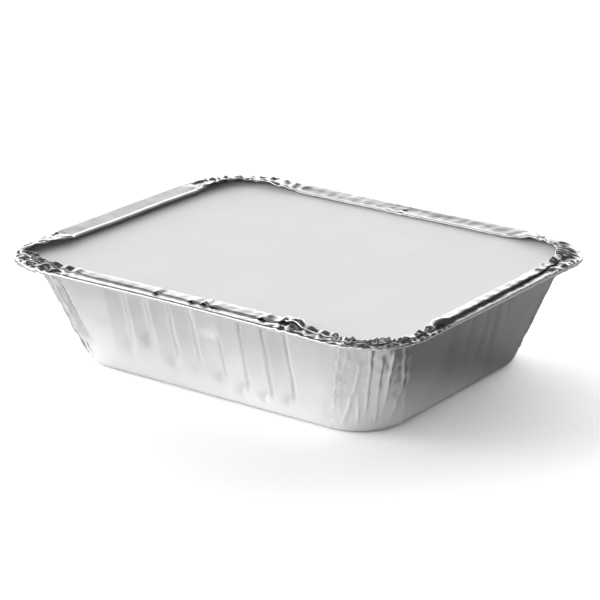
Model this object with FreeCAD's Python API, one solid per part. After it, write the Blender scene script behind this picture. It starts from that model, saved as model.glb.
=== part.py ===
"""Foil takeaway container closed by a card lid.

The tray is one sheet of aluminium foil: a tapered pan with fluted sides and wrinkled corners, a flat
ledge round its mouth, and a rim that is folded over the lid and ends in a rolled hem. The lid is a
plain card that rests on the ledge, under the folded rim.

Millimetres. The origin is on the table under the middle of the tray, +X along its length, +Z up.
"""
import FreeCAD, Part
import math
import os

from FreeCAD import Vector

# Overall sizes
LENGTH = 145.0          # over the folded rim
WIDTH = 120.0           # over the folded rim
LEDGE_HEIGHT = 32.7     # table to the underside of the ledge
LEDGE_WIDTH = 5.0       # wall to the outermost edge of the rim
LEAN = 10.8             # how far each wall leans out between table and ledge
CORNER_RADIUS = 16.0    # upright corners of the pan
BASE_RADIUS = 3.5       # round edge between base and walls

# Sheets
FOIL = 0.1
CARD = 0.4
LID_CLEARANCE = 0.4     # between the lid's edge and the inside of the fold
FLAP_CLEARANCE = 0.1    # between the lid's top and a flap that lies on it

# Flutes pressed into the sides
FLUTE_PITCH = 8.4
FLUTE_GAP = 0.2         # plain wall between two flutes
FLUTE_DEPTH = 0.6
FLUTE_PLAIN = 7.0       # least plain wall left at each end of a side
FLUTE_FADE = 7.0        # height above the table at which a flute has died out

# Wrinkles of the pan's corners
WRINKLES = 7            # in each corner
WRINKLE_GAP = 0.35      # plain corner between two wrinkles
WRINKLE_DEPTH = 0.45
WRINKLE_FADE = 4.0      # height above the table at which a wrinkle has died out

# Rim folded over the lid. Each flap: its reach in from the outermost edge, the slack over the lid
# at the fold, and how high its hem stands off the lid.
FLAPS = {
    "right": (6.2, 0.6, 0.3),
    "back": (8.8, 0.6, 0.0),
    "left": (8.4, 1.6, 1.5),
    "front": (7.6, 0.5, 0.0),
}
HEM_RADIUS = 0.4        # of the foil's middle, where the flap's edge rolls back
HEM_WIDTH = 1.8         # from the roll to the raw edge
HEM_CLEARANCE = 0.12    # between the raw edge and the flap under it
PLEATS = 4              # folds standing up in each corner of the rim
PLEAT_HEIGHT = 0.9

# Worked out from the sizes above
LEDGE_TOP = LEDGE_HEIGHT + FOIL
RIM_RADIUS = CORNER_RADIUS + LEDGE_WIDTH
QUARTER = math.pi / 2

# Room for the cuts and unions that join the sheet's solid forms
RIDGE_ROOT = 2 * FOIL   # how deep a ridge is rooted in the wall
LEDGE_ROOT = 2.0        # how far the ledge runs in past the wall before the pan is hollowed
HOLLOW_RISE = 2 * FOIL  # how far the pan's hollow runs on above the ledge
FOOT_BLOCK = 2 * BASE_RADIUS  # height of the block that is rounded and then cut down to the foot


def heading(angle):
    """Level unit vector at an angle from +X."""
    return Vector(math.cos(angle), math.sin(angle), 0)


def half_sizes(z):
    """Half length and half width of the pan's outside at height z."""
    inset = LEDGE_WIDTH + LEAN * (1 - z / LEDGE_HEIGHT)
    return LENGTH / 2 - inset, WIDTH / 2 - inset


def corner_centre(turn, half_length, half_width, radius):
    """Centre of the rounded corner between the sides at turn and turn + 1 quarters."""
    sign_x = (1, -1, -1, 1)[turn]
    sign_y = (1, 1, -1, -1)[turn]
    return Vector(sign_x * (half_length - radius), sign_y * (half_width - radius), 0)


def rounded_rectangle(half_length, half_width, radius, z):
    """Level closed wire of four straight sides and four round corners."""
    edges = []
    start = None
    for turn in range(4):
        centre = corner_centre(turn, half_length, half_width, radius) + Vector(0, 0, z)
        first, middle, last = [centre + heading((turn + part) * QUARTER) * radius for part in (0, 0.5, 1)]
        if start:
            edges.append(Part.makeLine(end, first))
        else:
            start = first
        edges.append(Part.Arc(first, middle, last).toShape())
        end = last
    edges.append(Part.makeLine(end, start))
    return Part.Wire(edges)


# The pan

def side_station(turn, shift, z):
    """Point of the pan's outside on a side at height z, with its outward and sideways directions."""
    reach = half_sizes(z)[turn % 2]
    outward = heading(turn * QUARTER)
    sideways = heading((turn + 1) * QUARTER)
    return outward * reach + sideways * shift + Vector(0, 0, z), outward, sideways


def corner_station(turn, part, z):
    """The same on a corner, a part of the way round it."""
    angle = (turn + part) * QUARTER
    half_length, half_width = half_sizes(z)
    centre = corner_centre(turn, half_length, half_width, CORNER_RADIUS)
    outward = heading(angle)
    return centre + outward * CORNER_RADIUS + Vector(0, 0, z), outward, heading(angle + QUARTER)


def ridge_outline(station, half, crest, inward):
    """Level outline of a ridge at a station, rooted in the wall and standing out by its crest."""
    point, outward, sideways = station
    wall = point - outward * inward
    outline = [
        wall - sideways * half - outward * 2 * RIDGE_ROOT,
        wall - sideways * half - outward * RIDGE_ROOT,
        wall + outward * crest,
        wall + sideways * half - outward * RIDGE_ROOT,
        wall + sideways * half - outward * 2 * RIDGE_ROOT,
    ]
    return Part.makePolygon(outline + outline[:1])


def flute(turn, shift, top, inward):
    """Flute that keeps its width and flattens out towards its foot."""
    half = (FLUTE_PITCH - FLUTE_GAP) / 2
    upper = ridge_outline(side_station(turn, shift, top), half, FLUTE_DEPTH, inward)
    lower = ridge_outline(side_station(turn, shift, FLUTE_FADE), half, -RIDGE_ROOT / 2, inward)
    return Part.makeLoft([upper, lower], True, True)


def wrinkle(turn, part, top, inward):
    """Wrinkle of a corner, which sinks into the wall as it comes down and so narrows to a point."""
    half = (CORNER_RADIUS * QUARTER / WRINKLES - WRINKLE_GAP) / 2
    upper, lower = corner_station(turn, part, top), corner_station(turn, part, WRINKLE_FADE)
    face = Part.Face(ridge_outline(upper, half, WRINKLE_DEPTH, inward))
    return face.extrude(lower[0] - upper[0] - upper[1] * WRINKLE_DEPTH)


def ridges(inward, top):
    """All flutes of the four sides and all wrinkles of the four corners."""
    found = []
    for turn in range(4):
        straight = 2 * (half_sizes(0)[(turn + 1) % 2] - CORNER_RADIUS)
        count = int((straight - 2 * FLUTE_PLAIN) / FLUTE_PITCH)
        for number in range(count):
            found.append(flute(turn, (number - (count - 1) / 2) * FLUTE_PITCH, top, inward))
        for number in range(WRINKLES):
            found.append(wrinkle(turn, (number + 0.5) / WRINKLES, top, inward))
    return found


def tapered_walls(low, high):
    """Solid between two level outlines whose corners have the same radius."""
    faces = [Part.Face(low), Part.Face(high)]
    for below, above in zip(low.Edges, high.Edges):
        if isinstance(below.Curve, Part.Circle):
            faces.append(below.extrude(above.firstVertex().Point - below.firstVertex().Point))
        else:
            corners = [below.firstVertex(), below.lastVertex(), above.lastVertex(), above.firstVertex()]
            corners = [vertex.Point for vertex in corners]
            faces.append(Part.Face(Part.makePolygon(corners + corners[:1])))
    shell = Part.Shell(faces)
    shell.sewShape()
    return Part.Solid(shell)


def pan(inward, top):
    """Solid form of the pan from its base to a height, with base and walls moved inward."""
    lean = math.atan2(LEAN, LEDGE_HEIGHT)
    round_edge = BASE_RADIUS - inward
    radius = CORNER_RADIUS - inward
    meeting = inward + round_edge * (1 - math.sin(lean))
    half_length, half_width = [size - inward for size in half_sizes(meeting)]
    bulge = round_edge * (1 - math.cos(lean))
    block = Part.Face(rounded_rectangle(half_length + bulge, half_width + bulge, radius + bulge, inward))
    block = block.extrude(Vector(0, 0, FOOT_BLOCK))
    base_edges = [edge for edge in block.Edges if edge.BoundBox.ZMax < inward + FOIL]
    block = block.makeFillet(round_edge, base_edges)
    foot = block.common(Part.makeBox(LENGTH, WIDTH, meeting, Vector(-LENGTH / 2, -WIDTH / 2, 0)))
    top_length, top_width = [size - inward for size in half_sizes(top)]
    walls = tapered_walls(
        rounded_rectangle(half_length, half_width, radius, meeting),
        rounded_rectangle(top_length, top_width, radius, top),
    )
    return walls.multiFuse([foot] + ridges(inward, top))


# The rim

def bent_strip(start, moves):
    """Closed outline of a bent sheet, from the start of its middle line and its moves.

    A move is a straight length, or a radius with the angle turned, which is positive to the left.
    """
    x, z = start
    angle = 0.0
    left, right = [], []

    def beside(side, x, z, angle):
        return Vector(x - side * FOIL / 2 * math.sin(angle), 0, z + side * FOIL / 2 * math.cos(angle))

    caps = [(beside(-1, x, z, angle), beside(1, x, z, angle))]
    for size, turned in moves:
        stops = []
        for part in (0, 0.5, 1):
            at = angle + part * turned
            if turned:
                swing = math.copysign(size, turned)
                step_x = swing * (math.sin(at) - math.sin(angle))
                step_z = swing * (math.cos(angle) - math.cos(at))
            else:
                step_x = part * size * math.cos(angle)
                step_z = part * size * math.sin(angle)
            stops.append((x + step_x, z + step_z, at))
        for side, edges in ((1, left), (-1, right)):
            first, middle, last = [beside(side, *stop) for stop in stops]
            edge = Part.Arc(first, middle, last).toShape() if turned else Part.makeLine(first, last)
            edges.append(edge)
        x, z, angle = stops[-1]
    caps.append((beside(1, x, z, angle), beside(-1, x, z, angle)))
    far_cap = Part.makeLine(*caps[1])
    near_cap = Part.makeLine(*caps[0])
    return Part.Wire(left + [far_cap] + right[::-1] + [near_cap])


def fold_radius(slack):
    """Radius of the fold, to the middle of the foil, over the lid and the slack above it."""
    return (CARD + FLAP_CLEARANCE + slack + FOIL) / 2


def rim_section(reach, slack, lift, hemmed):
    """Section of ledge, fold and flap, with or without the hem. X is outward and ends at 0, Z is up."""
    fold = fold_radius(slack)
    run = reach - fold - HEM_RADIUS - FOIL
    tilt = math.atan2(slack - lift, run)
    start = -LEDGE_WIDTH - LEDGE_ROOT
    moves = [
        (-fold - FOIL / 2 - start, 0),
        (fold, math.pi + tilt),
        (run / math.cos(tilt), 0),
    ]
    if hemmed:
        hem_tilt = math.asin((2 * HEM_RADIUS - FOIL - HEM_CLEARANCE) / HEM_WIDTH)
        moves += [(HEM_RADIUS, -math.pi - hem_tilt), (HEM_WIDTH, 0)]
    return bent_strip((start, LEDGE_HEIGHT + FOIL / 2), moves)


def placed_section(turn, part, *sizes):
    """Section of the rim at a part of the way round a corner."""
    centre = corner_centre(turn, LENGTH / 2, WIDTH / 2, RIM_RADIUS)
    section = rim_section(*sizes)
    section.rotate(Vector(), Vector(0, 0, 1), math.degrees((turn + part) * QUARTER))
    section.translate(centre + heading((turn + part) * QUARTER) * RIM_RADIUS)
    return section


def side_rim(turn, flap):
    """Straight rim of a side, from one corner to the next."""
    section = placed_section(turn, 0, *flap, True)
    length = 2 * ((WIDTH, LENGTH)[turn % 2] / 2 - RIM_RADIUS)
    return Part.Face(section).extrude(heading((turn - 1) * QUARTER) * length)


def corner_rim(turn, before, after):
    """Rim of a corner, pleated where the foil is gathered, between the flaps before and after it."""
    sections = []
    for line in range(2 * PLEATS + 1):
        part = line / (2 * PLEATS)
        reach, slack, lift = [a + (b - a) * part for a, b in zip(before, after)]
        if line % 2:
            lift += PLEAT_HEIGHT
        sections.append(placed_section(turn, part, reach, slack, lift, False))
    return Part.makeLoft(sections, True, True)


def rims():
    """Ledge, fold and flaps of the four sides and four corners."""
    flaps = [FLAPS[name] for name in ("right", "back", "left", "front")]
    found = []
    for turn in range(4):
        found.append(side_rim(turn, flaps[turn]))
        found.append(corner_rim(turn, flaps[turn], flaps[(turn + 1) % 4]))
    return found


def foil_tray():
    """The whole foil sheet."""
    outside = pan(0, LEDGE_HEIGHT + FOIL / 2)
    inside = pan(FOIL, LEDGE_TOP + HOLLOW_RISE)
    return outside.multiFuse(rims()).cut(inside)


def card_lid():
    """Plain card on the ledge, clear of the fold all round."""
    most_slack = max(slack for reach, slack, lift in FLAPS.values())
    inset = fold_radius(most_slack) + FOIL / 2 + LID_CLEARANCE
    outline = rounded_rectangle(LENGTH / 2 - inset, WIDTH / 2 - inset, RIM_RADIUS - inset, LEDGE_TOP)
    return Part.Face(outline).extrude(Vector(0, 0, CARD))


os.makedirs("parts", exist_ok=True)
for name, make in (("foil_tray", foil_tray), ("card_lid", card_lid)):
    make().exportStep("parts/" + name + ".step")
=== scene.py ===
"""Looks of a foil takeaway container closed by a card lid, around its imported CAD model.

The foil is one sheet. Its middle surface is a grid in millimetres: columns go round the tray, and rows
go from the middle of the base up the walls, out along the ledge, over the fold, in along the flap and
round its hem. Both skins of the foil are then set off from that surface.
"""
import math

import bpy
import numpy as np
from mathutils import Matrix, Vector, noise


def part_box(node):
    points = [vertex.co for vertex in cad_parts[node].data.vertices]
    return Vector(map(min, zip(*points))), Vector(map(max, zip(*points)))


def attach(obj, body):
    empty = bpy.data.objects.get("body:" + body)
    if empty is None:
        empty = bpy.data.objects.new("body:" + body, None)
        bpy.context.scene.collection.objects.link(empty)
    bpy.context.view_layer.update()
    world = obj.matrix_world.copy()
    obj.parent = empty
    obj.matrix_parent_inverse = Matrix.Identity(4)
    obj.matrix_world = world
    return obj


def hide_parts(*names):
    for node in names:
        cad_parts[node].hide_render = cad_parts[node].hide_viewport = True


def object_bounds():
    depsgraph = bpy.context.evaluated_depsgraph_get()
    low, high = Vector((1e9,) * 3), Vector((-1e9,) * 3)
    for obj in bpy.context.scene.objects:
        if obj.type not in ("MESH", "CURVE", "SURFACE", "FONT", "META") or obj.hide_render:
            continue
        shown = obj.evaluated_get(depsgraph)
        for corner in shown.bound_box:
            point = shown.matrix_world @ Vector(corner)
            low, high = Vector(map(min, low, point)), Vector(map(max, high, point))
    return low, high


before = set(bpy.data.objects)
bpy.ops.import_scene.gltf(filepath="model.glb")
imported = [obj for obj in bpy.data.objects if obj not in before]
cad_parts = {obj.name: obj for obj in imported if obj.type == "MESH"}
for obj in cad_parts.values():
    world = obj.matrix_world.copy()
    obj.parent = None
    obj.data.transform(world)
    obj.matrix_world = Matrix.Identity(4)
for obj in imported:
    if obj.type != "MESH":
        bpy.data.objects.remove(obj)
cad_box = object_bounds()
lid_low, lid_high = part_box("card_lid")

MM = 0.001
HALF = np.array([cad_box[1].x, cad_box[1].y]) / MM
TOP = cad_box[1].z / MM
LEDGE_TOP = lid_low.z / MM
LID_TOP = lid_high.z / MM

# The pan
FOIL = 0.1
LEDGE_WIDTH = 5.0
LEAN = 10.8             # how far a wall leans out between table and ledge
CORNER_RADIUS = 16.0
RIM_RADIUS = CORNER_RADIUS + LEDGE_WIDTH
BASE_RADIUS = 3.5       # round edge between base and walls
MOUTH_RADIUS = 0.5      # round edge between walls and ledge
MIDDLE = LEDGE_TOP - FOIL / 2   # height of the foil's middle in the ledge
SLOPE = math.atan2(LEAN, MIDDLE)
FOOT = BASE_RADIUS * (1 - math.sin(SLOPE))              # where the wall's straight part begins
HEAD = MIDDLE - MOUTH_RADIUS * (1 - math.sin(SLOPE))    # and ends

# The flaps
LID_GAP = 0.1           # least room between lid and flap
BOX_GAP = 0.02          # and between the highest crumple and the top of the CAD box
LOWEST = LID_TOP + LID_GAP + FOIL / 2   # least and most height of the foil's middle over the lid
HIGHEST = TOP - BOX_GAP - FOIL / 2
HEM_RADIUS = 0.3        # of the hem's roll where it is closed
HEM_OPENING = 0.3       # and how much more for each millimetre that it stands open

# Columns of the grid
CORNER_COLUMNS = 84
FLUTED_STEP = 0.84
END_STEP = 0.75         # where the rim is crumpled, beyond the flutes
PLAIN_FROM = (22.0, 38.0)   # from the middle of a short and a long side to where its flutes have ended

# Rows of the grid, as counts or as parts of the way
BASE_PARTS = (0.3, 0.65, 0.9)
EDGE_ROWS = 5
WALL_ROWS = 19
MOUTH_PARTS = (0.33, 0.66, 1)
LEDGE_PARTS = (0.35, 0.7, 1)
FOLD_ROWS = 8
FLAP_ROWS = 10
ROLL_ROWS = 6
HEM_PARTS = (0.35, 0.7, 1)
EDGE_ROW = len(BASE_PARTS)
RIM_ROW = EDGE_ROW + EDGE_ROWS + WALL_ROWS + len(MOUTH_PARTS)
FOLD_ROW = RIM_ROW + len(LEDGE_PARTS)
WALLS = slice(EDGE_ROW, RIM_ROW)
RIM = slice(RIM_ROW, None)


# Places round the tray: side 0 is +X, and each side is followed by its corner, counterclockwise.
# A side's places are millimetres from its middle, a corner's are parts of its turn.

def straight(turn):
    """Half the straight length of a side."""
    return HALF[(turn + 1) % 2] - RIM_RADIUS


def on_side(turn, shift):
    return 2 * turn + 0.5 + shift / (2 * straight(turn))


def on_corner(turn, part):
    return 2 * turn + 1 + part


def make_columns():
    """Side or corner number, whether it is a corner, and place there, of each column in turn."""
    found = []
    for turn in range(4):
        end, plain = straight(turn), PLAIN_FROM[turn % 2]
        fluted = np.linspace(-plain, plain, round(2 * plain / FLUTED_STEP) + 1)
        beyond = np.linspace(plain, end, round((end - plain) / END_STEP) + 1)[1:]
        shifts = np.concatenate([-beyond[::-1], fluted, beyond])
        found += [(turn, False, shift) for shift in shifts]
        found += [(turn, True, part) for part in np.linspace(0, 1, CORNER_COLUMNS + 1)[1:-1]]
    turns, corners, places = zip(*found)
    return np.array(turns), np.array(corners), np.array(places)


TURN, IS_CORNER, PLACE = make_columns()
LOOP = np.where(IS_CORNER, on_corner(TURN, PLACE), [on_side(*at) for at in zip(TURN, PLACE)])
ANGLE = (TURN + np.where(IS_CORNER, PLACE, 0)) * math.pi / 2
OUTWARD = np.stack([np.cos(ANGLE), np.sin(ANGLE)])
SIDEWAYS = np.stack([-np.sin(ANGLE), np.cos(ANGLE)])
COLUMNS = len(TURN)
SIDE_LENGTH = 12        # of each side and corner in a line for noise along the rim
RIM_LINE = np.stack([LOOP * SIDE_LENGTH, np.zeros(COLUMNS), np.zeros(COLUMNS)])


def outline(inset, radius):
    """Level positions of grid rows, from how far in they lie and the radius of their corners."""
    half_x, half_y = HALF[0] - inset, HALF[1] - inset
    faces_x = TURN % 2 == 0
    reach = np.where(faces_x, half_x, half_y)
    end = np.where(faces_x, half_y, half_x) - radius
    plain = np.where(faces_x, *PLAIN_FROM)
    rim_end = np.where(faces_x, straight(0), straight(1))
    beyond = np.maximum(np.abs(PLACE) - plain, 0) * (end - plain) / (rim_end - plain)
    shift = np.sign(PLACE) * (np.minimum(np.abs(PLACE), plain) + beyond)
    side = reach * OUTWARD[:, None] + shift * SIDEWAYS[:, None]
    sign_x = np.array([1, -1, -1, 1])[TURN]
    sign_y = np.array([1, 1, -1, -1])[TURN]
    centre = np.stack([sign_x * (half_x - radius), sign_y * (half_y - radius)])
    corner = centre + radius * OUTWARD[:, None]
    return np.where(IS_CORNER, corner, side)


def round_corner(turn, before, after):
    """Place across a corner and the ends of its two sides, and the columns that lie there."""
    first = on_side(turn, straight(turn) - before)
    last = on_side((turn + 1) % 4, after - straight(turn + 1))
    place = (LOOP - first) % 8 / ((last - first) % 8)
    here = place < 1
    return place[here], here


# Random forms, the same on each run

SEED_STEP = 17.3        # how far apart in the noise the seeds lie along x and y
SEED_RISE = 0.37        # and along z, as a part of that
BEND_REACH = 0.5        # how far the folds between facets bend, in facets
BEND_SIZE = 1.7         # and the size of those bends
FACET_SPREAD = (0.7, 1.5)       # least and most size of a facet, of the one given
PLEAT_SHIFT = 0.3       # the most that a ridge or valley is out of place, in half pleats
VALLEY_HEIGHT = 0.3     # the most height of a valley, of 1


def smooth(x, low, high):
    """0 below low, 1 above high, and a smooth step between."""
    t = np.clip((x - low) / (high - low), 0, 1)
    return t * t * (3 - 2 * t)


def between_ends(place, fade):
    """1 across 0 to 1, fading to 0 at both ends."""
    return smooth(place, 0, fade) * smooth(1 - place, 0, fade)


def soft_noise(points, size, seed):
    """Smooth noise of about -1 to 1, on an array whose first axis is x, y, z."""
    shift = SEED_STEP * seed
    flat = points.reshape(3, -1).T / size
    values = [noise.noise((x + shift, y - shift, z + SEED_RISE * shift)) for x, y, z in flat]
    return np.array(values).reshape(points.shape[1:])


def wander(points, kind, turn=0):
    """Smooth noise whose kind is its height, its size and its seed, to which the turn is added."""
    height, size, seed = kind
    return height * soft_noise(points, size, seed + turn)


def creases(points, kind, turn=0):
    """Height, -1 to 1, of a sheet crumpled into flat facets.

    Their kind is the size of the facets, the weights of the folds' x, y and z, how many ways the folds
    run, and a seed, to which the turn is added.
    """
    size, spread, count, seed = kind
    seed += turn
    rng = np.random.default_rng(seed)
    bends = np.stack([soft_noise(points, BEND_SIZE * size, seed + axis) for axis in range(3)])
    bent = points + BEND_REACH * size * bends
    total = np.zeros(points.shape[1:])
    for _ in range(count):
        direction = rng.normal(size=3) * spread
        direction /= np.linalg.norm(direction) * size * rng.uniform(*FACET_SPREAD)
        wave = np.tensordot(direction, bent, 1) + rng.uniform()
        total += 4 * np.abs(wave - np.floor(wave + 0.5)) - 1
    return total / count


def zigzag(place, count, least, seed):
    """Height, 0 to 1, of pleats of uneven width across 0 to 1, whose ridges are no lower than the least."""
    rng = np.random.default_rng(seed)
    nodes = np.arange(2 * count + 1) / (2 * count)
    nodes[1:-1] += rng.uniform(-PLEAT_SHIFT, PLEAT_SHIFT, 2 * count - 1) / (2 * count)
    heights = np.where(np.arange(2 * count + 1) % 2, rng.uniform(least, 1, 2 * count + 1), 0)
    heights[2:-2:2] = rng.uniform(0, VALLEY_HEIGHT, count - 1)
    return np.interp(place, nodes, heights)


# Flutes and wrinkles of the walls

# A flute, pressed in: its place at the ledge and at the table, its widths before and after that, its depth,
# and the heights where it begins and ends.
LONG_FLUTES = [
    (-28.7, -30.0, 4.6, 3.8, 1.7, 8, 60),
    (-20.4, -21.4, 4.6, 3.8, 1.8, 14, 60),
    (-11.9, -13.2, 4.6, 3.6, 1.8, 9, 60),
    (-3.9, -4.4, 4.4, 3.6, 1.7, 6, 60),
    (4.8, 4.2, 4.2, 3.8, 2.2, 5, 24),
    (13.5, 11.4, 4.4, 4.0, 2.7, 4, 60),
    (21.8, 19.8, 4.4, 4.0, 2.7, 4, 60),
    (30.1, 28.6, 4.4, 3.6, 2.5, 5, 60),
]
SHORT_FLUTES = [
    (-17.0, -19.5, 1.6, 1.4, 0.6, 1, 9),
    (-16.0, -9.8, 1.7, 2.0, 0.75, 0, 60),
    (-6.4, -3.0, 1.7, 1.8, 0.5, 10, 60),
    (2.4, 5.8, 1.7, 2.0, 0.7, 1, 60),
    (7.0, 15.0, 1.7, 2.0, 0.75, 0, 60),
    (14.0, 18.0, 1.6, 1.8, 0.55, 18, 60),
]
FLUTE_LINE = (0.5, 7, 3)    # how a flute's line wanders
FLUTE_ENDS = (3, 9, 8)      # and how the heights of its ends do
FLUTE_BEGINS = (-2, 5)      # heights over which it begins, from the one given
FLUTE_STOPS = (-3, 2)       # and those over which it ends
# An upright fold of a corner: its places across the corner at the table, halfway up and at the ledge,
# half its width, its height, and the heights where it begins and ends.
FOLDS = [
    (0.12, 0.10, 0.11, 0.8, 0.75, 8, 60),
    (0.18, 0.16, 0.22, 0.8, 0.75, 9, 27),
    (0.20, 0.31, 0.35, 0.9, 0.90, 2, 24),
    (0.40, 0.34, 0.37, 0.9, 0.80, 2, 15),
    (0.46, 0.44, 0.42, 0.9, 0.80, 8, 60),
    (0.56, 0.54, 0.57, 1.0, 0.50, 4, 26),
    (0.61, 0.65, 0.69, 1.1, 0.45, 10, 30),
    (0.68, 0.86, 0.79, 1.2, 0.50, 1, 60),
    (0.90, 0.93, 0.91, 1.0, 0.35, 4, 28),
]
FOLD_LINE = (0.7, 6, 20)    # how a fold's line wanders
FOLD_ENDING = 2         # half the height over which it begins or ends
CORNER_LENGTH = 36.0    # of a corner with the wrinkled ends of its sides
WRINKLED_ENDS = (6, 5)  # of the sides before and after a corner
WRINKLES_FADE = 0.12    # part of that length over which wrinkles fade at each end
WRINKLES_BEGIN = (0.5, 5.0)     # heights over which they begin above the table
CORNER_SUNK = 0.4       # how far in a corner lies between its folds
# Crumples of the corners, long and short ones, and broad uneven facets of all walls
UPRIGHT = (1, 1, 0.22)  # scale of x, y and z in the corners' crumples, which makes them tall
LONG_CREASES = (2.6, (1, 1, 0.5), 2, 30)
LONG_HEIGHT = 0.34
SHORT_CREASES = (1.3, (1, 1, 1.2), 3, 40)
SHORT_HEIGHT = 0.05
BUCKLES = (7, (1, 1, 1), 4, 9)
BUCKLE_HEIGHT = 0.05
RELIEF_BEGINS = (0.1, 2)        # heights over which all of this begins above the table
RELIEF_STOPS = (0, 1)           # and distances under the ledge over which it ends


def press_flutes(relief, z, points, turn):
    """Take the flutes of one side off the relief of the walls."""
    side = ~IS_CORNER & (TURN == turn)
    at = points[:, :, side]
    shift = PLACE[side] + wander(at, FLUTE_LINE, turn)
    level = z[:, side] + wander(at, FLUTE_ENDS, turn)
    for top, bottom, before, after, depth, low, high in (SHORT_FLUTES, LONG_FLUTES)[turn % 2]:
        past = shift - np.interp(z[:, side], [0, MIDDLE], [bottom, top])
        height = np.clip(1 - np.where(past < 0, -past / before, past / after), 0, 1)
        begun = smooth(level - low, *FLUTE_BEGINS)
        ended = smooth(level - high, *FLUTE_STOPS)
        relief[:, side] -= depth * height * begun * (1 - ended)


def corner_folds(place, z, points, turn):
    """How far a corner's folds stand out, from the places of its columns."""
    across = (place if turn % 2 else 1 - place) * CORNER_LENGTH + wander(points, FOLD_LINE, turn)
    total = np.zeros(z.shape)
    for low_place, middle_place, high_place, half, height, low, high in FOLDS:
        line = np.interp(z, [0, MIDDLE / 2, MIDDLE], [low_place, middle_place, high_place]) * CORNER_LENGTH
        ridge = height * np.clip(1 - np.abs(across - line) / half, 0, 1)
        begun = smooth(z - low, -FOLD_ENDING, FOLD_ENDING)
        ended = smooth(z - high, -FOLD_ENDING, FOLD_ENDING)
        total = np.maximum(total, ridge * begun * (1 - ended))
    return total


def wrinkle_corner(relief, z, points, turn):
    """Add the folds and crumples of one corner to the relief of the walls."""
    place, here = round_corner(turn, *WRINKLED_ENDS)
    at = points[:, :, here]
    tall = at * np.array(UPRIGHT)[:, None, None]
    wrinkles = corner_folds(place, z[:, here], at, turn)
    wrinkles += LONG_HEIGHT * creases(tall, LONG_CREASES, turn)
    wrinkles += SHORT_HEIGHT * creases(tall, SHORT_CREASES, turn)
    fade = between_ends(place, WRINKLES_FADE) * smooth(z[:, here], *WRINKLES_BEGIN)
    relief[:, here] += fade * (wrinkles - CORNER_SUNK)


def wall_relief(z, points):
    """How far the wall stands out from its plain form."""
    relief = BUCKLE_HEIGHT * creases(points, BUCKLES)
    for turn in range(4):
        press_flutes(relief, z, points, turn)
    for turn in range(4):
        wrinkle_corner(relief, z, points, turn)
    return relief * smooth(z, *RELIEF_BEGINS) * smooth(MIDDLE - z, *RELIEF_STOPS)


# The rim

# The flap, at places round the tray: reach in from the rim's edge, slack over the lid at the fold,
# height of the hem over the lid, width of the hem, gap under its raw edge, and how crumpled the rim is.
FLAP = [
    (on_side(0, -39), 4.6, 0.4, 0.2, 1.8, 0.3, 0.9),
    (on_side(0, -33), 5.2, 0.4, 0.2, 1.8, 0.3, 0.9),
    (on_side(0, -30), 6.4, 0.5, 0.2, 2.4, 1.6, 0.6),
    (on_side(0, -26), 6.0, 0.5, 0.1, 2.8, 1.3, 0.3),
    (on_side(0, -20), 5.9, 0.5, 0.1, 2.8, 0.9, 0.18),
    (on_side(0, 24), 6.6, 0.5, 0.1, 2.8, 0.7, 0.18),
    (on_side(0, 34), 7.0, 0.5, 0.3, 2.2, 0.4, 0.8),
    (on_corner(0, 0.2), 7.4, 0.2, 0.7, 1.8, 0.3, 0.5),
    (on_corner(0, 0.4), 7.6, 0.1, 1.0, 1.4, 0.1, 0.3),
    (on_corner(0, 0.8), 7.8, 0.1, 1.0, 1.4, 0.1, 0.4),
    (on_side(1, -51), 8.2, 0.4, 1.1, 1.8, 0.1, 0.6),
    (on_side(1, -42), 8.8, 0.9, 0.1, 1.8, 0.0, 0.13),
    (on_side(1, 36), 8.8, 0.9, 0.1, 1.8, 0.0, 0.13),
    (on_side(1, 46), 8.2, 0.9, 0.9, 1.8, 0.1, 0.8),
    (on_corner(1, 0.5), 7.6, 0.9, 0.9, 1.4, 0.05, 0.7),
    (on_side(2, -37), 8.4, 1.6, 1.5, 1.8, 0.0, 0.9),
    (on_side(2, -30), 8.5, 2.1, 1.1, 1.8, 0.0, 0.03),
    (on_side(2, 31), 8.5, 2.1, 1.1, 1.8, 0.0, 0.03),
    (on_side(2, 33), 9.2, 1.6, 1.7, 1.8, 0.1, 0.9),
    (on_side(2, 36), 7.6, 1.6, 1.7, 1.8, 0.1, 0.9),
    (on_corner(2, 0.1), 6.0, 1.4, 1.7, 1.2, 0.1, 0.7),
    (on_corner(2, 0.46), 3.4, 1.4, 1.6, 0.9, 0.1, 0.7),
    (on_corner(2, 0.54), 5.6, 0.8, 0.5, 1.6, 0.2, 0.9),
    (on_side(3, -48), 7.6, 0.5, 0.3, 1.8, 0.2, 0.9),
    (on_side(3, -41), 8.2, 0.5, 0.0, 3.8, 0.08, 0.12),
    (on_side(3, 0), 8.8, 0.5, 0.0, 4.6, 0.08, 0.12),
    (on_side(3, 20), 9.6, 0.5, 0.0, 5.2, 0.12, 0.15),
    (on_side(3, 31), 9.2, 0.5, 0.1, 4.2, 0.15, 0.4),
    (on_side(3, 33), 9.6, 0.6, 0.4, 3.0, 0.9, 1.0),
    (on_side(3, 38), 9.2, 0.6, 0.5, 2.8, 0.8, 1.0),
    (on_side(3, 41), 7.2, 0.6, 0.2, 1.8, 0.2, 0.7),
    (on_side(3, 46), 6.0, 0.3, 0.1, 1.8, 0.2, 0.7),
    (on_corner(3, 0.15), 4.8, 0.2, 0.1, 1.4, 0.2, 0.7),
    (on_corner(3, 0.7), 4.4, 0.2, 0.1, 1.4, 0.2, 0.7),
]
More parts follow.
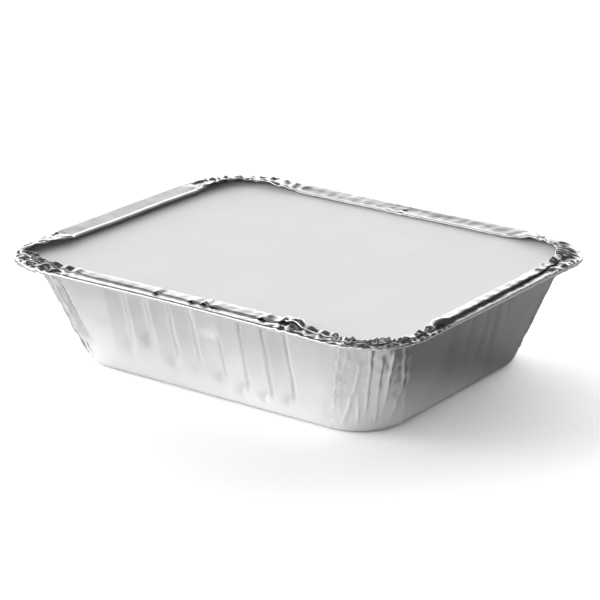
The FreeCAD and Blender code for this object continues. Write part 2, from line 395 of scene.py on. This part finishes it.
# How far the rim's edge hangs down, at places round the tray.
SAG = [
    (on_side(0, -30), 0.0),
    (on_side(0, 0), 0.2),
    (on_side(0, 34), 0.4),
    (on_corner(0, 0.4), 1.2),
    (on_corner(0, 1.0), 0.2),
    (on_side(1, 0), 0.0),
    (on_side(2, 0), 0.0),
    (on_corner(2, 0.3), 0.3),
    (on_corner(2, 0.8), 0.6),
    (on_side(3, -36), 0.0),
]
# A dent: side, place, half width, and how far it opens the hem.
DENTS = [
    (3, -12.0, 0.9, 0.7),
    (3, 1.2, 1.8, 0.5),
    (3, 5.6, 1.2, 1.2),
    (3, 9.4, 2.6, 0.5),
    (3, 26.5, 1.6, 0.7),
    (1, -1.5, 1.6, 0.8),
    (1, 3.0, 1.2, 0.6),
]
DENT_PEAK = 1.3         # a dent's form is a peak of this height, cut off at 1
DENT_SUNK = 0.3         # how far it presses the flap down, for each millimetre that it opens the hem
DENT_CRUMPLED = 0.4     # and how much it crumples it
DENTS_GROW = (0.3, 7.5)         # insets over which a dent grows from the edge
# How the rim's edge and the flap's edge wander
SAG_WAVES = (0.4, 0.5, 7)
REACH_WAVES = (1.0, 1.0, 5)
REACH_WAVE_HEIGHT = (0.25, 0.75)    # where the rim is smooth, and where it is crumpled
REACH_TEETH = (0.4, 0.3, 6)         # only where it is crumpled
# Pleats in the rim's four corners
PLEATS = (16, 12, 10, 18)
PLEAT_HEIGHT = (1.3, 1.1, 0.8, 1.0)
LEAST_PLEAT = 0.2       # as a part of that height
PLEAT_SEED = 60
PLEAT_LINE = (0.03, 5, 50)      # how a pleat's line wanders
PLEAT_LEAN = 0.6        # how far ridges move along the rim against valleys
PLEAT_MIDDLE = 0.4      # height on a pleat, of 1, that stays where it is
PLEATED_ENDS = (9, 7)   # of the sides before and after a corner
PLEATS_FADE = 0.1       # part of the corner and those ends over which pleats fade at each end
PLEATS_GROW = (0.3, 4.5)        # insets over which pleats grow from the edge
# Crumples of the flap, which raise it and move it along the rim
LARGE_CREASES = (3.6, (1, 1, 0.3), 2, 70)
LARGE_HEIGHT = 0.75
SMALL_CREASES = (2.0, (1, 1, 0.3), 3, 75)
SMALL_HEIGHT = 0.12
SIDEWAYS_CREASES = (3.0, (1, 1, 1), 4, 80)
SIDEWAYS_REACH = 0.5
CREASES_GROW = (0.3, 1.6)       # insets over which they grow from the edge
FLAP_WAVES = (0.06, 6, 90)      # of the whole flap, crumpled or not
# Crumples of the rim's outer edge, which raise it and push it in
EDGE_RAISED = (2.4, (1, 1, 0.5), 2, 85)
RAISED_HEIGHT = 0.3
EDGE_PUSHED = (2.4, (1, 1, 1), 2, 88)
PUSHED_REACH = 0.22
EDGE_BREADTH = (2.5, 1.5)       # of that edge, and of the part of it over which they fade
# The form of the whole rim
CORNER_PULL = (1.0, 0.0, 2.2, 0.0)      # how far its corners are drawn out
PULLED_BREADTH = (8, 5)         # of what is drawn out, and of the part of it over which that fades
BOW = 0.8               # how far the middles of its long sides bend in
BOW_BREADTH = 3         # of the ledge over which that fades


def at_columns(table):
    """The values of a table by places round the tray, at each column."""
    table = np.array(table)
    return [np.interp(LOOP, table[:, 0], values, period=8) for values in table[:, 1:].T]


def sag():
    """How far the rim's edge hangs down at each column."""
    return at_columns(SAG)[0] * (1 + wander(RIM_LINE, SAG_WAVES))


def dents():
    """How far dents open the hem at each column."""
    found = np.zeros(COLUMNS)
    for turn, place, half, opened in DENTS:
        near = opened * np.clip(DENT_PEAK - DENT_PEAK * np.abs(PLACE - place) / half, 0, 1)
        found += np.where(~IS_CORNER & (TURN == turn), near, 0)
    return found


REACH, SLACK, LIFT, HEM, GAP, CRUMPLED = at_columns(FLAP)
DENTED = dents()


def ragged_reach():
    """Reach of the flap at each column, with an edge that wanders."""
    low, high = REACH_WAVE_HEIGHT
    height = low + (high - low) * CRUMPLED
    return REACH + height * wander(RIM_LINE, REACH_WAVES) + CRUMPLED * wander(RIM_LINE, REACH_TEETH)


def pleat_corner(raised, aside, inset, points, turn):
    """Add the pleats of one corner to how far the rim is raised and moved aside."""
    place, here = round_corner(turn, *PLEATED_ENDS)
    slanted = place + wander(points[:, :, here], PLEAT_LINE, turn)
    pleat = zigzag(slanted, PLEATS[turn], LEAST_PLEAT, PLEAT_SEED + turn)
    pleated = between_ends(place, PLEATS_FADE) * smooth(inset[:, here], *PLEATS_GROW)
    raised[:, here] += pleated * PLEAT_HEIGHT[turn] * pleat
    aside[:, here] += pleated * PLEAT_LEAN * (pleat - PLEAT_MIDDLE)


def rim_shifts(inset, z, points):
    """How far the rim is raised, moved aside and pushed in by its crumples, dents and pleats."""
    over_lid = smooth(inset, *CREASES_GROW) * (z > LID_TOP)
    breadth, fade = EDGE_BREADTH
    at_edge = CRUMPLED * smooth(breadth - inset, 0, fade)
    large = creases(points, LARGE_CREASES)
    small = creases(points, SMALL_CREASES)
    raised = over_lid * CRUMPLED * (LARGE_HEIGHT * large + SMALL_HEIGHT * small)
    raised += over_lid * DENTED * (DENT_CRUMPLED * small - DENT_SUNK * smooth(inset, *DENTS_GROW))
    raised += at_edge * RAISED_HEIGHT * creases(points, EDGE_RAISED)
    pushed = at_edge * PUSHED_REACH * (1 + creases(points, EDGE_PUSHED))
    aside = over_lid * CRUMPLED * SIDEWAYS_REACH * creases(points, SIDEWAYS_CREASES)
    for turn in range(4):
        pleat_corner(raised, aside, inset, points, turn)
    raised += over_lid * wander(points, FLAP_WAVES)
    return raised, aside, pushed


def drawn_out(inset):
    """How far the rim's corners are drawn out, less how far its long sides bow in."""
    breadth, fade = PULLED_BREADTH
    pulled = np.where(IS_CORNER, np.sin(PLACE * math.pi) ** 2, 0) * np.array(CORNER_PULL)[TURN]
    long_side = ~IS_CORNER & (TURN % 2 == 1)
    bowed = np.where(long_side, np.cos(PLACE / straight(1) * math.pi / 2) ** 2, 0) * BOW
    return pulled * smooth(breadth - inset, 0, fade) - bowed * smooth(LEDGE_WIDTH - inset, 0, BOW_BREADTH)


# Profile of the sheet. A row is its inset, height, corner radius and scale, at each column.

def row(inset, z, radius, scale=1.0):
    return [np.broadcast_to(value, COLUMNS) for value in (inset, z, radius, scale)]


def rim_row(inset, z):
    return row(inset, z, RIM_RADIUS - inset)


def wall_inset(z):
    return LEDGE_WIDTH + LEAN * (1 - z / MIDDLE)


def base_rows():
    """The flat base, and the round edge between it and the walls."""
    depth = BASE_RADIUS * math.cos(SLOPE)
    rows = [row(wall_inset(FOOT) + depth, FOIL / 2, CORNER_RADIUS - depth, part) for part in BASE_PARTS]
    for part in np.linspace(0, 1, EDGE_ROWS):
        angle = part * (math.pi / 2 - SLOPE)
        depth = BASE_RADIUS * (math.cos(SLOPE) - math.sin(angle))
        z = FOIL / 2 + BASE_RADIUS * (1 - math.cos(angle))
        rows.append(row(wall_inset(FOOT) + depth, z, CORNER_RADIUS - depth))
    return rows


def wall_rows():
    """The walls, and the round edge between them and the ledge."""
    heights = np.linspace(FOOT + FOIL / 2, HEAD, WALL_ROWS + 1)[1:]
    rows = [row(wall_inset(z), z, CORNER_RADIUS) for z in heights]
    for part in MOUTH_PARTS:
        angle = SLOPE + part * (math.pi / 2 - SLOPE)
        inset = wall_inset(HEAD) - MOUTH_RADIUS * (math.cos(SLOPE) - math.cos(angle))
        rows.append(rim_row(inset, HEAD + MOUTH_RADIUS * (math.sin(angle) - math.sin(SLOPE))))
    return rows


def ledge_rows(start, fold, hung):
    """Out from the walls to where the fold begins, at the height of the edge that hangs down."""
    return [rim_row(start + part * (fold - start), MIDDLE + part * (hung - MIDDLE)) for part in LEDGE_PARTS]


def fold_rows(fold, hung):
    """Half a turn round the rim's edge."""
    rows = []
    for angle in np.linspace(0, math.pi, FOLD_ROWS + 1)[1:]:
        rows.append(rim_row(fold * (1 - np.sin(angle)) + FOIL / 2, hung + fold * (1 - np.cos(angle))))
    return rows


def flap_rows(fold, end, high, low):
    """In over the lid."""
    parts = np.linspace(0, 1, FLAP_ROWS + 1)[1:]
    return [rim_row(fold + part * (end - fold), high + (low - high) * part) for part in parts]


def hem_rows(end, low, roll, turned):
    """Round the roll at the flap's end, and straight on to the raw edge."""
    rows = []
    for part in np.linspace(0, 1, ROLL_ROWS + 1)[1:]:
        angle = part * turned
        rows.append(rim_row(end + roll * np.sin(angle), low + roll * (1 - np.cos(angle))))
    start_inset, start_z = rows[-1][0], rows[-1][1]
    for part in HEM_PARTS:
        length = part * HEM
        rows.append(rim_row(start_inset + length * np.cos(turned), start_z + length * np.sin(turned)))
    return rows


def profile_rows():
    """Inset, height, corner radius and scale of each grid row, at each column."""
    rows = base_rows() + wall_rows()
    hung = MIDDLE - sag()
    fold = (LOWEST + SLACK - hung) / 2
    high = hung + 2 * fold
    low = LOWEST + LIFT
    gap = GAP + DENTED
    roll = HEM_RADIUS + HEM_OPENING * gap
    end = ragged_reach() - roll - FOIL / 2
    rise = (high - low) * HEM / (end - fold) + FOIL + gap - 2 * roll
    rows += ledge_rows(rows[-1][0], fold, hung)
    rows += fold_rows(fold, hung)
    rows += flap_rows(fold, end, high, low)
    rows += hem_rows(end, low, roll, math.pi - np.arctan2(rise, HEM))
    return [np.array(values) for values in zip(*rows)]


def clear_lid_and_box(shaped, inset, z):
    """Keep the flaps above the lid and inside the CAD box."""
    over_lid = (inset > CREASES_GROW[1]) & (z > LID_TOP)
    shaped[2] = np.where(over_lid, np.maximum(shaped[2], LOWEST), shaped[2])
    shaped[2] = np.minimum(shaped[2], HIGHEST)


def foil_surface():
    """Middle surface of the foil, as an array of x, y and z by row and column."""
    inset, z, radius, scale = profile_rows()
    points = np.stack([*outline(inset, radius) * scale, z])
    shaped = points.copy()
    shaped[:2, WALLS] += wall_relief(z[WALLS], points[:, WALLS]) * OUTWARD[:, None]
    raised, aside, pushed = rim_shifts(inset[RIM], z[RIM], points[:, RIM])
    shaped[2, RIM] += raised
    shaped[:2, RIM] += aside * SIDEWAYS[:, None]
    shaped[:2, RIM] += (drawn_out(inset[RIM]) - pushed) * OUTWARD[:, None]
    clear_lid_and_box(shaped, inset, z)
    return shaped


CORNER_CRUMPLED = 0.65      # how crumpled the walls' corners are
CRUMPLED_FADE = 0.15        # part of a corner and its ends over which that fades at each end


def crumpling(rows):
    """How crumpled each point of a skin is, with the middle of the base last."""
    on_rim = np.arange(rows) >= FOLD_ROW
    on_wall = (np.arange(rows) >= EDGE_ROW + EDGE_ROWS // 2) & ~on_rim
    level = on_rim[:, None] * np.clip(CRUMPLED + DENT_CRUMPLED * DENTED, 0, 1)
    for turn in range(4):
        place, here = round_corner(turn, *WRINKLED_ENDS)
        level[:, here] += on_wall[:, None] * CORNER_CRUMPLED * between_ends(place, CRUMPLED_FADE)
    return np.append(level.ravel(), 0)


def skin(surface, side):
    """Vertices of one skin of the foil, and the middle of its base."""
    by_row = np.gradient(surface, axis=1)
    by_column = np.roll(surface, -1, axis=2) - np.roll(surface, 1, axis=2)
    normal = np.cross(by_column, by_row, axis=0)
    normal /= np.linalg.norm(normal, axis=0)
    moved = surface + side * FOIL / 2 * normal
    vertices = moved.reshape(3, -1).T
    return np.vstack([vertices, [0, 0, moved[2, 0].mean()]])


def foil_faces(rows, columns):
    """Faces of both skins, of the raw edge that joins them, and of the middle of the base."""
    count = rows * columns + 1
    here = np.arange(columns)
    ahead = (here + 1) % columns
    faces = []
    for number in range(rows - 1):
        a, b = number * columns + here, number * columns + ahead
        c, d = b + columns, a + columns
        faces += np.stack([a, d, c, b], 1).tolist()
        faces += (count + np.stack([a, b, c, d], 1)).tolist()
    a, b = (rows - 1) * columns + here, (rows - 1) * columns + ahead
    faces += np.stack([a, count + a, count + b, b], 1).tolist()
    middle = np.full(columns, count - 1)
    faces += np.stack([ahead, here, middle], 1).tolist()
    faces += (count + np.stack([middle, here, ahead], 1)).tolist()
    return faces


def foil_mesh():
    """Closed mesh of both skins."""
    surface = foil_surface()
    rows, columns = surface.shape[1:]
    vertices = np.vstack([skin(surface, 1), skin(surface, -1)]) * MM
    mesh = bpy.data.meshes.new("foil_sheet")
    mesh.from_pydata(vertices.tolist(), [], foil_faces(rows, columns))
    level = mesh.attributes.new("crumpled", "FLOAT", "POINT")
    level.data.foreach_set("value", np.tile(crumpling(rows), 2))
    mesh.validate()
    mesh.shade_smooth()
    return mesh


# Materials

class Graph:
    """Short way to write a node graph."""

    def __init__(self, tree):
        self.tree = tree
        tree.nodes.clear()

    def node(self, kind, inputs=None, **settings):
        made = self.tree.nodes.new(kind)
        for name, value in settings.items():
            setattr(made, name, value)
        for name, value in (inputs or {}).items():
            socket = made.inputs[name]
            if isinstance(value, bpy.types.NodeSocket):
                self.tree.links.new(value, socket)
            else:
                socket.default_value = value
        return made

    def maths(self, operation, *values):
        return self.node("ShaderNodeMath", dict(enumerate(values)), operation=operation).outputs[0]

    def ramp(self, value, low, high, out_low, out_high):
        """A value between low and high, turned into one between out_low and out_high."""
        inputs = {"Value": value, "From Min": low, "From Max": high, "To Min": out_low, "To Max": out_high}
        return self.node("ShaderNodeMapRange", inputs).outputs[0]

    def mix(self, part, first, second):
        return self.node("ShaderNodeMix", {0: part, 2: first, 3: second}).outputs[0]

    def along(self, vector, direction):
        inputs = {0: vector, 1: direction}
        return self.node("ShaderNodeVectorMath", inputs, operation="DOT_PRODUCT").outputs["Value"]

    def grey(self, tone):
        return self.node("ShaderNodeCombineColor", {"Red": tone, "Green": tone, "Blue": tone}).outputs[0]

    def noise(self, kind, stretch=(1, 1, 1)):
        """Noise through the object, whose kind is its scale for a metre, its detail and its roughness."""
        place = self.node("ShaderNodeTexCoord").outputs["Object"]
        moved = self.node("ShaderNodeMapping", {"Vector": place, "Scale": stretch}).outputs[0]
        inputs = {"Vector": moved, "Scale": kind[0], "Detail": kind[1], "Roughness": kind[2]}
        return self.node("ShaderNodeTexNoise", inputs).outputs["Fac"]

    def clouds(self, kind, span, low, high):
        """A value that goes from low to high as noise goes through its span."""
        return self.ramp(self.noise(kind), *span, low, high)

    def bump(self, height, kind, under=None):
        """Normal of a relief whose kind is its strength and its distance, on top of the one under it."""
        inputs = {"Height": height, "Strength": kind[0], "Distance": kind[1]}
        if under is not None:
            inputs["Normal"] = under
        return self.node("ShaderNodeBump", inputs).outputs[0]


def new_material(name):
    material = bpy.data.materials.new(name)
    material.use_nodes = True
    return material, Graph(material.node_tree)


# Each noise is its scale, detail and roughness, and each relief its strength and its distance in metres.
FOIL_TONE = (0.66, 0.72)
FOIL_TONE_CLOUDS = (60, 2, 0.55)
FOIL_ROUGHNESS = (0.28, 0.36)
FOIL_ROUGHNESS_CLOUDS = (140, 3, 0.55)
FOIL_SPAN = (0.3, 0.7)      # of those two noises
CRUMPLED_SMOOTHER = 0.12    # how much less rough the foil is where it is crumpled
FOIL_METALLIC = 0.96
WAVES = (330, 2, 0.55)
WAVES_RELIEF = (0.5, 0.0002)
FACETS = 380                # scale of the small facets
FACETS_GROW = (0.7, 1, 0, 0.25)     # two levels of crumpling, and how high the facets are there
FACETS_RELIEF = (1.0, 0.0006)
GRAIN = (900, 2, 0.55)
ROLLING_LINES = (2600, 1, 0.55)
LINES_STRETCH = (0.12, 1, 1)
LINES_HEIGHT = 0.4          # against the grain's
GRAIN_RELIEF = (0.35, 0.00005)


def foil_material():
    """Rolled foil with a soft sheen, faint waves and fine grain, and small facets where it is crumpled."""
    material, graph = new_material("foil")
    crumpled = graph.node("ShaderNodeAttribute", attribute_name="crumpled").outputs["Fac"]
    tone = graph.clouds(FOIL_TONE_CLOUDS, FOIL_SPAN, *FOIL_TONE)
    roughness = graph.clouds(FOIL_ROUGHNESS_CLOUDS, FOIL_SPAN, *FOIL_ROUGHNESS)
    roughness = graph.maths("SUBTRACT", roughness, graph.maths("MULTIPLY", crumpled, CRUMPLED_SMOOTHER))
    place = graph.node("ShaderNodeTexCoord").outputs["Object"]
    cells = graph.node("ShaderNodeTexVoronoi", {"Vector": place, "Scale": FACETS}).outputs["Distance"]
    facets = graph.maths("MULTIPLY", cells, graph.ramp(crumpled, *FACETS_GROW))
    lines = graph.maths("MULTIPLY", graph.noise(ROLLING_LINES, LINES_STRETCH), LINES_HEIGHT)
    grain = graph.maths("ADD", graph.noise(GRAIN), lines)
    waved = graph.bump(graph.noise(WAVES), WAVES_RELIEF)
    crinkled = graph.bump(facets, FACETS_RELIEF, waved)
    grained = graph.bump(grain, GRAIN_RELIEF, crinkled)
    inputs = {
        "Base Color": graph.grey(tone),
        "Metallic": FOIL_METALLIC,
        "Roughness": roughness,
        "Normal": grained,
    }
    shader = graph.node("ShaderNodeBsdfPrincipled", inputs)
    graph.node("ShaderNodeOutputMaterial", {"Surface": shader.outputs[0]})
    return material


CARD_TONE = (0.78, 0.82)
CARD_TONE_CLOUDS = (45, 4, 0.6)
CARD_TONE_SPAN = (0.25, 0.75)
CARD_ROUGHNESS = (0.55, 0.7)
CARD_ROUGHNESS_CLOUDS = (700, 3, 0.6)
CARD_ROUGHNESS_SPAN = (0.3, 0.7)
CARD_SPECULAR = 0.35
FIBRES = (2500, 4, 0.6)
FIBRES_RELIEF = (0.25, 0.00005)


def card_material():
    """White card with a slightly cloudy tone and fine fibres."""
    material, graph = new_material("card")
    inputs = {
        "Base Color": graph.grey(graph.clouds(CARD_TONE_CLOUDS, CARD_TONE_SPAN, *CARD_TONE)),
        "Roughness": graph.clouds(CARD_ROUGHNESS_CLOUDS, CARD_ROUGHNESS_SPAN, *CARD_ROUGHNESS),
        "Normal": graph.bump(graph.noise(FIBRES), FIBRES_RELIEF),
        "Specular IOR Level": CARD_SPECULAR,
    }
    shader = graph.node("ShaderNodeBsdfPrincipled", inputs)
    graph.node("ShaderNodeOutputMaterial", {"Surface": shader.outputs[0]})
    return material


# The object

def make_tray():
    foil = bpy.data.objects.new("foil_sheet", foil_mesh())
    bpy.context.scene.collection.objects.link(foil)
    foil.data.materials.append(foil_material())
    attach(foil, "root")
    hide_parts("foil_tray")


def finish_lid():
    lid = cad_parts["card_lid"]
    card = card_material()
    for slot in lid.material_slots:
        slot.material = card


# The studio, with its sizes and places in metres

FLOOR_SIZE = 6.0
FLOOR_COLOUR = 0.9
FLOOR_SEEN = 1.7        # where the camera sees it

# The floor's tone as a mirror shows it, which is a painted reflection: painted shade on its dark side and
# painted light elsewhere. Each of these gives two places and the tones there, which hold beyond them too. The
# first four places are along the direction of the dark side.
PAINTED_SHADE_SIDE = (0.94, 0.34, 0)
FLOOR_RISING = (-0.09, 0.0, 1.1, 1.8)       # brighter from the left to the middle
FLOOR_EASING = (0.01, 0.034, 1.8, 1.35)     # a step down towards the front corner
# The dark part is painted shade, which the right-hand walls mirror in place of the floor's shadow.
FLOOR_TURNING = (0.042, 0.066, 1.75, 0.3)   # down to the dark part
FLOOR_BEYOND = (0.115, 0.15, 0.28, 1.1)     # and up again beyond it
# Factors of that tone along Y, of which the larger holds.
FLOOR_FRONT = (-0.085, -0.05, 0.63, 1.17)   # bright at the near wall's foot, and duller before it
FLOOR_FAR = (-0.13, -0.1, 1.2, 0.7)         # and bright again farther out
# The most that it can be: along Y behind the object, and along X to its left, apart from where
# FLOOR_BEFORE, along Y, allows more.
FLOOR_BEHIND = (0.02, 0.037, 3.0, 0.6)
FLOOR_LEFT = (-0.056, -0.05, 0.42, 3.0)
FLOOR_BEFORE = (-0.06, -0.045, 3.0, 0.42)

# Bright walls round the object: radiance, the middle of the side on which each stands, the cosines from it
# between which it begins, and the sines of the height between which it ends.
LIGHTS = [
    (5.1, (-0.84, 0.54, 0), (0.17, 0.3), (0.3, 0.7)),
    (1.1, (-0.1, -0.99, 0), (0.45, 0.65), (0.6, 0.95)),
]
# The same room as a mirror shows it.
MIRRORED = [
    (1.8, (-0.94, -0.34, 0), (0.5, 0.85), (0.3, 0.7)),
    (1.9, (-0.58, 0.81, 0), (0.6, 0.85), (0.25, 0.65)),
    (1.2, (-0.1, -0.99, 0), (0.45, 0.65), (0.5, 0.95)),
    (0.35, (0.94, 0.34, 0), (0.2, 0.7), (0.2, 0.6)),
]
DIM = 0.08              # part of the walls' light that is left overhead, where a mirror shows none
DARK = 0.02             # radiance of the rest of the room
ROOM_SEEN = 1.0         # and of all of it where the camera sees it
OVERHEAD = (0.93, 0.99, 0.0, 0.55)      # what a mirror shows straight above, by the sine of the height


def painted_floor_reflection(graph):
    """Tone of the floor as a mirror shows it: a painted reflection, with painted shade and painted light."""
    place = graph.node("ShaderNodeTexCoord").outputs["Object"]
    axes = graph.node("ShaderNodeSeparateXYZ", {"Vector": place}).outputs
    across = graph.along(place, PAINTED_SHADE_SIDE)
    near = graph.maths("MINIMUM", graph.ramp(across, *FLOOR_RISING), graph.ramp(across, *FLOOR_EASING))
    near = graph.maths("MINIMUM", near, graph.ramp(across, *FLOOR_TURNING))
    tone = graph.maths("MAXIMUM", near, graph.ramp(across, *FLOOR_BEYOND))
    gain = graph.maths("MAXIMUM", graph.ramp(axes["Y"], *FLOOR_FRONT), graph.ramp(axes["Y"], *FLOOR_FAR))
    left = graph.maths("MAXIMUM", graph.ramp(axes["X"], *FLOOR_LEFT), graph.ramp(axes["Y"], *FLOOR_BEFORE))
    tone = graph.maths("MULTIPLY", tone, gain)
    tone = graph.maths("MINIMUM", tone, graph.ramp(axes["Y"], *FLOOR_BEHIND))
    return graph.maths("MINIMUM", tone, left)


def floor_material():
    """White where it is seen, pale as light on the object, and a painted reflection of light and shade in
    what the object mirrors.
    """
    material, graph = new_material("floor")
    path = graph.node("ShaderNodeLightPath").outputs
    lights_nothing = graph.maths("LESS_THAN", path["Diffuse Depth"], 0.5)
    glossy = graph.maths("MAXIMUM", path["Is Glossy Ray"], path["Is Transmission Ray"])
    mirrored = graph.maths("MULTIPLY", glossy, lights_nothing)
    # Mirrors see the painted reflection of light and shade, not the lit floor.
    tone = graph.mix(mirrored, FLOOR_COLOUR, painted_floor_reflection(graph))
    tone = graph.mix(path["Is Camera Ray"], tone, FLOOR_SEEN)
    shader = graph.node("ShaderNodeBsdfDiffuse", {"Color": graph.grey(tone)})
    graph.node("ShaderNodeOutputMaterial", {"Surface": shader.outputs[0]})
    return material


def make_floor():
    mesh = bpy.data.meshes.new("floor")
    half = FLOOR_SIZE / 2
    corners = [(-half, -half, 0), (half, -half, 0), (half, half, 0), (-half, half, 0)]
    mesh.from_pydata(corners, [], [(0, 1, 2, 3)])
    floor = bpy.data.objects.new("floor", mesh)
    mesh.materials.append(floor_material())
    bpy.context.scene.collection.objects.link(floor)


def room(graph, direction, height, walls, dim):
    """Radiance of the dark room and its bright walls."""
    total = DARK
    for radiance, side, edge, fall in walls:
        across = graph.ramp(graph.along(direction, side), *edge, 0.0, radiance)
        wall = graph.maths("MULTIPLY", across, graph.ramp(height, *fall, 1.0, dim))
        total = graph.maths("ADD", total, wall)
    return total


def make_world():
    world = bpy.data.worlds.new("studio")
    bpy.context.scene.world = world
    world.use_nodes = True
    graph = Graph(world.node_tree)
    path = graph.node("ShaderNodeLightPath").outputs
    direction = graph.node("ShaderNodeTexCoord").outputs["Generated"]
    height = graph.node("ShaderNodeSeparateXYZ", {"Vector": direction}).outputs["Z"]
    light = room(graph, direction, height, LIGHTS, DIM)
    mirrored = room(graph, direction, height, MIRRORED, 0.0)
    mirrored = graph.maths("ADD", mirrored, graph.ramp(height, *OVERHEAD))
    seen = graph.maths("MAXIMUM", path["Is Camera Ray"], path["Is Transmission Ray"])
    strength = graph.mix(seen, graph.mix(path["Is Glossy Ray"], light, mirrored), ROOM_SEEN)
    background = graph.node("ShaderNodeBackground", {"Color": (1, 1, 1, 1), "Strength": strength})
    graph.node("ShaderNodeOutputWorld", {"Surface": background.outputs[0]})


# The camera: its aim, from the middle of the CAD box, and where it stands
AIM_OFF = Vector((-3.72, 4.43, -1.39)) * MM
AZIMUTH = 35.77
ELEVATION = 19.31
DISTANCE = 0.7574
ROLL = 0.21
LENS = 146.37
SENSOR = 36.0


def make_camera():
    data = bpy.data.cameras.new("camera")
    data.lens = LENS
    data.sensor_width = SENSOR
    camera = bpy.data.objects.new("camera", data)
    bpy.context.scene.collection.objects.link(camera)
    azimuth, elevation, roll = [math.radians(value) for value in (AZIMUTH, ELEVATION, ROLL)]
    back = Vector((
        math.sin(azimuth) * math.cos(elevation),
        -math.cos(azimuth) * math.cos(elevation),
        math.sin(elevation),
    ))
    right = Vector((0, 0, 1)).cross(back).normalized()
    up = back.cross(right)
    rolled_right = right * math.cos(roll) + up * math.sin(roll)
    rolled_up = up * math.cos(roll) - right * math.sin(roll)
    turned = Matrix([rolled_right, rolled_up, back]).transposed()
    place = (cad_box[0] + cad_box[1]) / 2 + AIM_OFF + back * DISTANCE
    camera.matrix_world = Matrix.Translation(place) @ turned.to_4x4()
    bpy.context.scene.camera = camera


make_tray()
finish_lid()
make_floor()
make_world()
make_camera()
bpy.context.scene.view_settings.view_transform = "Standard"
